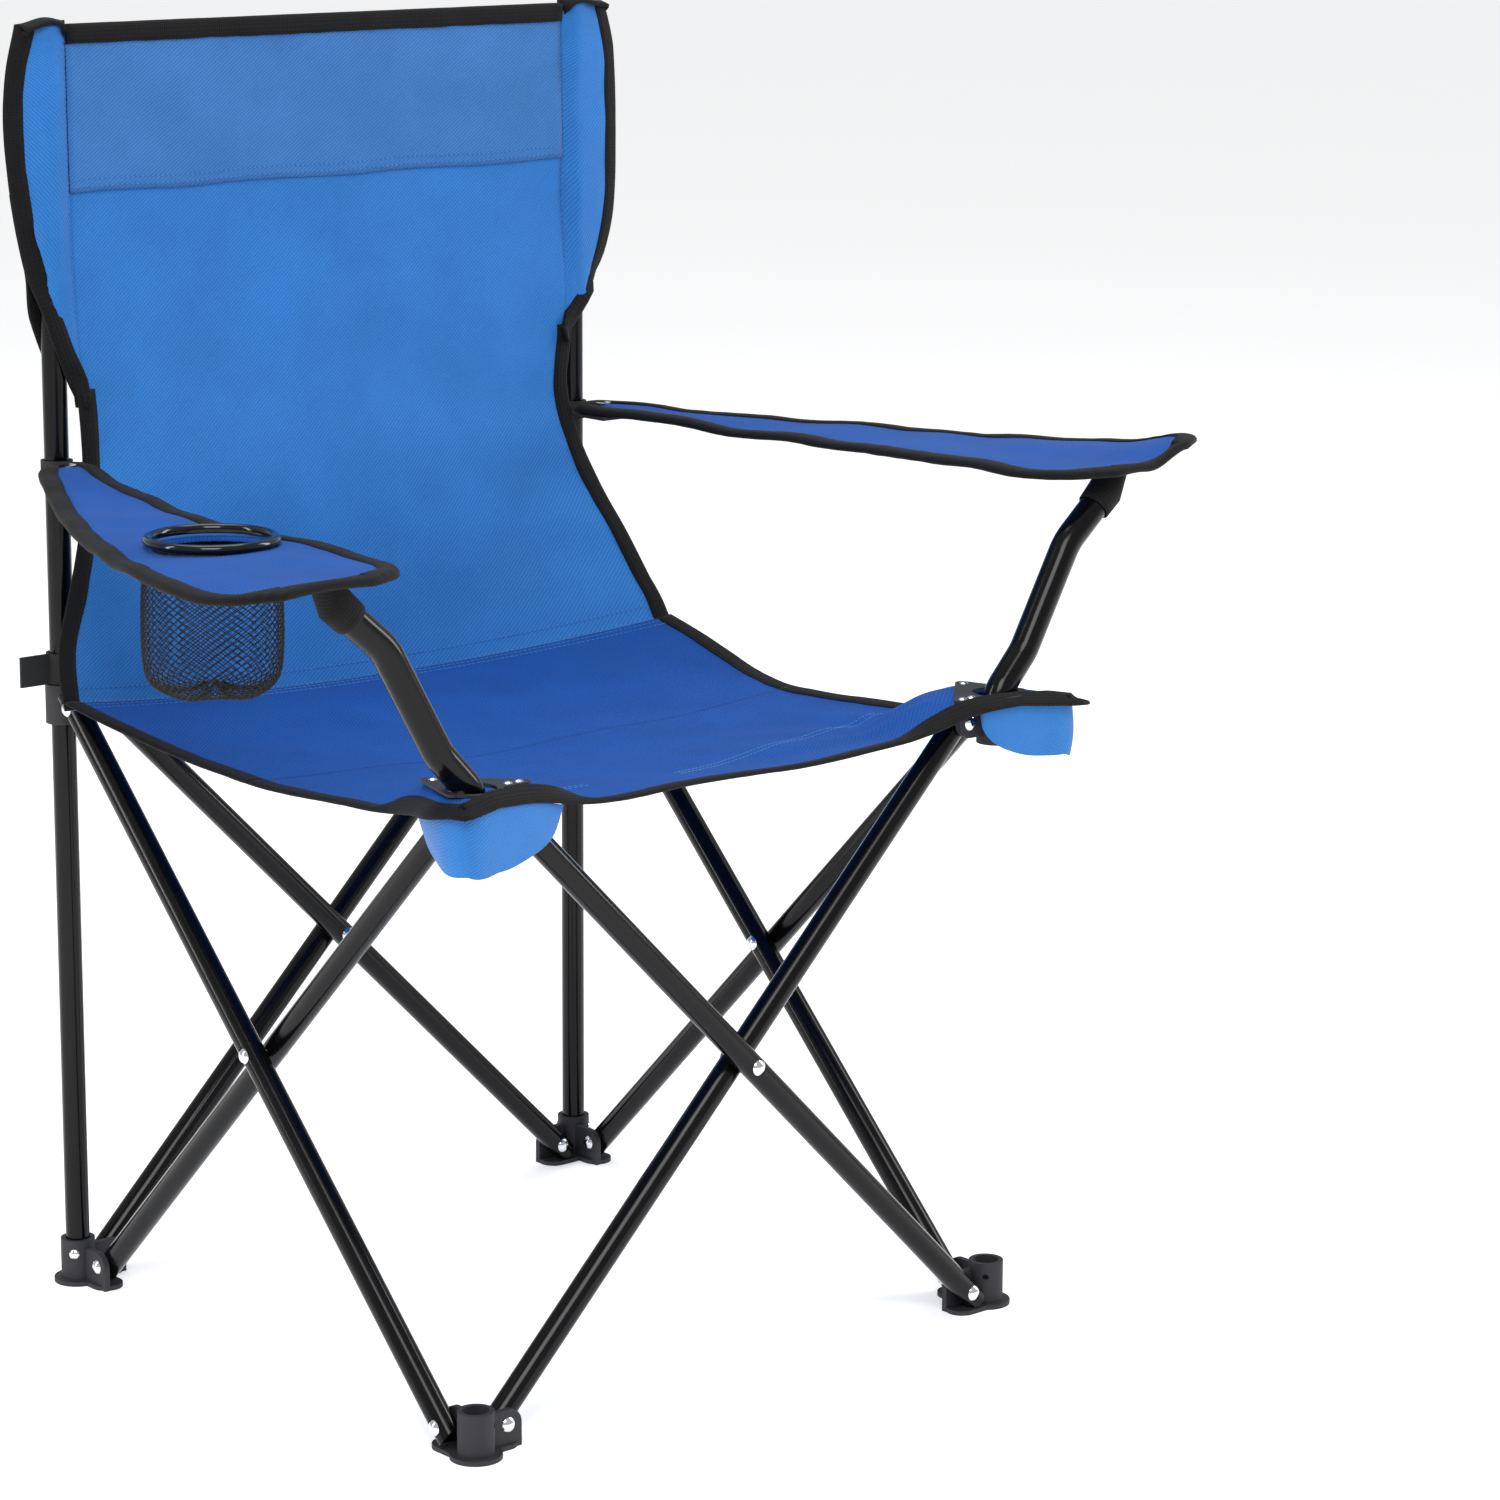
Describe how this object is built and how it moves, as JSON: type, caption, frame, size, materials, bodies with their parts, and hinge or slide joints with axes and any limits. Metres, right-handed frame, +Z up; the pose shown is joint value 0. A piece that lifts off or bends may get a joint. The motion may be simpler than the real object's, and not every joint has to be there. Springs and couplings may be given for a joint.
{
  "type": "folding camp chair",
  "caption": "Folding camp chair: scissor frame of round tubes, slung fabric seat and back, padded arms, net cup holder in the left arm",
  "frame": {"origin": "middle of the open chair's box on the floor plane", "axes": "+Z up, the chair faces -Y, and -X is the side of the arm with the cup holder"},
  "size_m": [0.792, 0.4722, 0.84],
  "materials": {
    "black_tube": "semi-gloss black powder coat on steel tube",
    "black_plastic": "moulded black plastic, satin",
    "gloss_black_plastic": "glossy black plastic hoop",
    "bright_rivet": "bright zinc-plated steel",
    "blue_cloth": "woven blue polyester",
    "black_webbing": "woven black webbing",
    "black_net": "knitted black net"
  },
  "bodies": {
    "rear_left_leg": {"rear_left_foot": "black_plastic", "rear_left_foot_rivets": "bright_rivet", "rear_left_upright": "black_tube", "rear_left_upright_cap": "black_plastic", "back_panel": "blue_cloth", "left_back_sleeve": "blue_cloth"},
    "rear_outer_tube": {"rear_outer_tube": "black_tube", "rear_middle_rivet": "bright_rivet"},
    "rear_inner_tube": {"rear_inner_tube": "black_tube"},
    "rear_right_leg": {"rear_right_foot": "black_plastic", "rear_right_foot_rivets": "bright_rivet", "rear_right_upright": "black_tube", "rear_right_upright_cap": "black_plastic", "right_back_sleeve": "blue_cloth"},
    "rear_left_slider": {"rear_left_slider": "black_plastic", "rear_left_slider_rivets": "bright_rivet", "left_corner_strap": "black_webbing"},
    "rear_right_slider": {"rear_right_slider": "black_plastic", "rear_right_slider_rivets": "bright_rivet", "right_corner_strap": "black_webbing"},
    "left_inner_tube": {"left_inner_tube": "black_tube"},
    "left_outer_tube": {"left_outer_tube": "black_tube", "left_middle_rivet": "bright_rivet"},
    "front_left_foot": {"front_left_foot": "black_plastic", "front_left_foot_rivets": "bright_rivet"},
    "front_left_hub": {"front_left_hub": "black_plastic", "front_left_hub_rivets": "bright_rivet", "left_arm_post": "black_tube", "left_arm_post_cap": "black_plastic", "left_corner_plate": "black_plastic", "left_corner_plate_rivets": "bright_rivet", "left_corner_pocket": "blue_cloth"},
    "front_inner_tube": {"front_inner_tube": "black_tube"},
    "front_outer_tube": {"front_outer_tube": "black_tube", "front_middle_rivet": "bright_rivet"},
    "front_right_foot": {"front_right_foot": "black_plastic", "front_right_foot_rivets": "bright_rivet"},
    "front_right_hub": {"front_right_hub": "black_plastic", "front_right_hub_rivets": "bright_rivet", "right_arm_post": "black_tube", "right_arm_post_cap": "black_plastic", "right_corner_plate": "black_plastic", "right_corner_plate_rivets": "bright_rivet", "right_corner_pocket": "blue_cloth"},
    "right_outer_tube": {"right_outer_tube": "black_tube", "right_middle_rivet": "bright_rivet"},
    "right_inner_tube": {"right_inner_tube": "black_tube"},
    "seat_rear": {"seat_rear_panel": "blue_cloth"},
    "seat_front": {"seat_front_panel": "blue_cloth"},
    "left_arm_loop": {"left_arm_loop": "black_webbing"},
    "left_arm": {"left_arm_rest": "blue_cloth", "left_arm_eyelet": "bright_rivet"},
    "right_arm_loop": {"right_arm_loop": "black_webbing"},
    "right_arm": {"right_arm_rest": "blue_cloth", "right_arm_eyelet": "bright_rivet"},
    "cup_holder": {"cup_ring": "gloss_black_plastic", "cup_net": "black_net"}
  },
  "joints": [
    {"name": "fold", "type": "hinge", "parent": "rear_left_leg", "child": "rear_outer_tube", "pos_m": [-0.191, 0.2259, 0.015], "axis": [0, -1, 0], "range_deg": [0, 41], "deforming": ["back_panel"]},
    {"name": "rear_middle_pivot", "type": "hinge", "parent": "rear_outer_tube", "child": "rear_inner_tube", "pos_m": [0, 0.2199, 0.206], "axis": [0, 1, 0], "range_deg": [0, 82]},
    {"name": "rear_right_foot_pivot", "type": "hinge", "parent": "rear_inner_tube", "child": "rear_right_leg", "pos_m": [0.191, 0.2094, 0.015], "axis": [0, 1, 0], "range_deg": [-41, 0]},
    {"name": "rear_left_slider_pivot", "type": "hinge", "parent": "rear_inner_tube", "child": "rear_left_slider", "pos_m": [-0.191, 0.2094, 0.397], "axis": [0, 1, 0], "range_deg": [-41, 0]},
    {"name": "rear_right_slider_pivot", "type": "hinge", "parent": "rear_outer_tube", "child": "rear_right_slider", "pos_m": [0.191, 0.2259, 0.397], "axis": [0, 1, 0], "range_deg": [0, 41]},
    {"name": "rear_left_foot_side_pivot", "type": "hinge", "parent": "rear_left_leg", "child": "left_inner_tube", "pos_m": [-0.2045, 0.1959, 0.015], "axis": [-1, 0, 0], "range_deg": [0, 41]},
    {"name": "left_middle_pivot", "type": "hinge", "parent": "left_inner_tube", "child": "left_outer_tube", "pos_m": [-0.215, 0.0049, 0.206], "axis": [-1, 0, 0], "range_deg": [-82, 0]},
    {"name": "front_left_foot_pivot", "type": "hinge", "parent": "left_outer_tube", "child": "front_left_foot", "pos_m": [-0.221, -0.1861, 0.015], "axis": [-1, 0, 0], "range_deg": [0, 41]},
    {"name": "front_left_hub_pivot", "type": "hinge", "parent": "left_inner_tube", "child": "front_left_hub", "pos_m": [-0.2045, -0.1861, 0.397], "axis": [-1, 0, 0], "range_deg": [-41, 0]},
    {"name": "front_left_foot_front_pivot", "type": "hinge", "parent": "front_left_foot", "child": "front_inner_tube", "pos_m": [-0.191, -0.1996, 0.015], "axis": [0, -1, 0], "range_deg": [0, 41]},
    {"name": "front_middle_pivot", "type": "hinge", "parent": "front_inner_tube", "child": "front_outer_tube", "pos_m": [0, -0.2101, 0.206], "axis": [0, -1, 0], "range_deg": [-82, 0]},
    {"name": "front_right_foot_pivot", "type": "hinge", "parent": "front_outer_tube", "child": "front_right_foot", "pos_m": [0.191, -0.2161, 0.015], "axis": [0, -1, 0], "range_deg": [0, 41]},
    {"name": "front_right_hub_pivot", "type": "hinge", "parent": "front_inner_tube", "child": "front_right_hub", "pos_m": [0.191, -0.1996, 0.397], "axis": [0, -1, 0], "range_deg": [-41, 0]},
    {"name": "rear_right_foot_side_pivot", "type": "hinge", "parent": "rear_right_leg", "child": "right_outer_tube", "pos_m": [0.221, 0.1959, 0.015], "axis": [1, 0, 0], "range_deg": [-41, 0]},
    {"name": "right_middle_pivot", "type": "hinge", "parent": "right_outer_tube", "child": "right_inner_tube", "pos_m": [0.215, 0.0049, 0.206], "axis": [1, 0, 0], "range_deg": [0, 82]},
    {"name": "seat_rear_turn", "type": "hinge", "parent": "rear_left_slider", "child": "seat_rear", "pos_m": [-0.215, 0.1769, 0.4], "axis": [1, 0, 0], "range_deg": [0, 82.5], "deforming": ["seat_rear_panel"]},
    {"name": "seat_front_turn", "type": "hinge", "parent": "front_left_hub", "child": "seat_front", "pos_m": [-0.215, -0.1901, 0.411], "axis": [-1, 0, 0], "range_deg": [0, 70.8], "deforming": ["seat_front_panel"]},
    {"name": "left_arm_loop_slide", "type": "slide", "parent": "rear_left_leg", "child": "left_arm_loop", "axis": [0, 0, 1], "range_m": [0, 0.075]},
    {"name": "left_arm_turn", "type": "hinge", "parent": "left_arm_loop", "child": "left_arm", "pos_m": [-0.215, 0.2099, 0.549], "axis": [-1, 0, 0], "range_deg": [0, 47.3], "deforming": ["left_arm_rest"]},
    {"name": "right_arm_loop_slide", "type": "slide", "parent": "rear_right_leg", "child": "right_arm_loop", "axis": [0, 0, 1], "range_m": [0, 0.075]},
    {"name": "right_arm_turn", "type": "hinge", "parent": "right_arm_loop", "child": "right_arm", "pos_m": [0.215, 0.2099, 0.549], "axis": [-1, 0, 0], "range_deg": [0, 47.3], "deforming": ["right_arm_rest"]},
    {"name": "cup_holder_slide", "type": "slide", "parent": "left_arm", "child": "cup_holder", "axis": [0, 1, 0], "range_m": [0, 0.254], "deforming": ["cup_net"]}
  ],
  "couplings": [
    {"joint": "rear_middle_pivot", "follows": "fold", "ratio": 2},
    {"joint": "rear_right_foot_pivot", "follows": "fold", "ratio": -1},
    {"joint": "rear_left_slider_pivot", "follows": "fold", "ratio": -1},
    {"joint": "rear_right_slider_pivot", "follows": "fold", "ratio": 1},
    {"joint": "rear_left_foot_side_pivot", "follows": "fold", "ratio": 1},
    {"joint": "left_middle_pivot", "follows": "fold", "ratio": -2},
    {"joint": "front_left_foot_pivot", "follows": "fold", "ratio": 1},
    {"joint": "front_left_hub_pivot", "follows": "fold", "ratio": -1},
    {"joint": "front_left_foot_front_pivot", "follows": "fold", "ratio": 1},
    {"joint": "front_middle_pivot", "follows": "fold", "ratio": -2},
    {"joint": "front_right_foot_pivot", "follows": "fold", "ratio": 1},
    {"joint": "front_right_hub_pivot", "follows": "fold", "ratio": -1},
    {"joint": "rear_right_foot_side_pivot", "follows": "fold", "ratio": -1},
    {"joint": "right_middle_pivot", "follows": "fold", "ratio": 2},
    {"joint": "seat_rear_turn", "follows": "fold", "ratio": 2.0122},
    {"joint": "seat_front_turn", "follows": "fold", "ratio": 1.7268},
    {"joint": "left_arm_loop_slide", "follows": "fold", "m_per_rad": 0.10481},
    {"joint": "left_arm_turn", "follows": "fold", "ratio": 1.1537},
    {"joint": "right_arm_loop_slide", "follows": "fold", "m_per_rad": 0.10481},
    {"joint": "right_arm_turn", "follows": "fold", "ratio": 1.1537},
    {"joint": "cup_holder_slide", "follows": "fold", "m_per_rad": 0.35495}
  ]
}
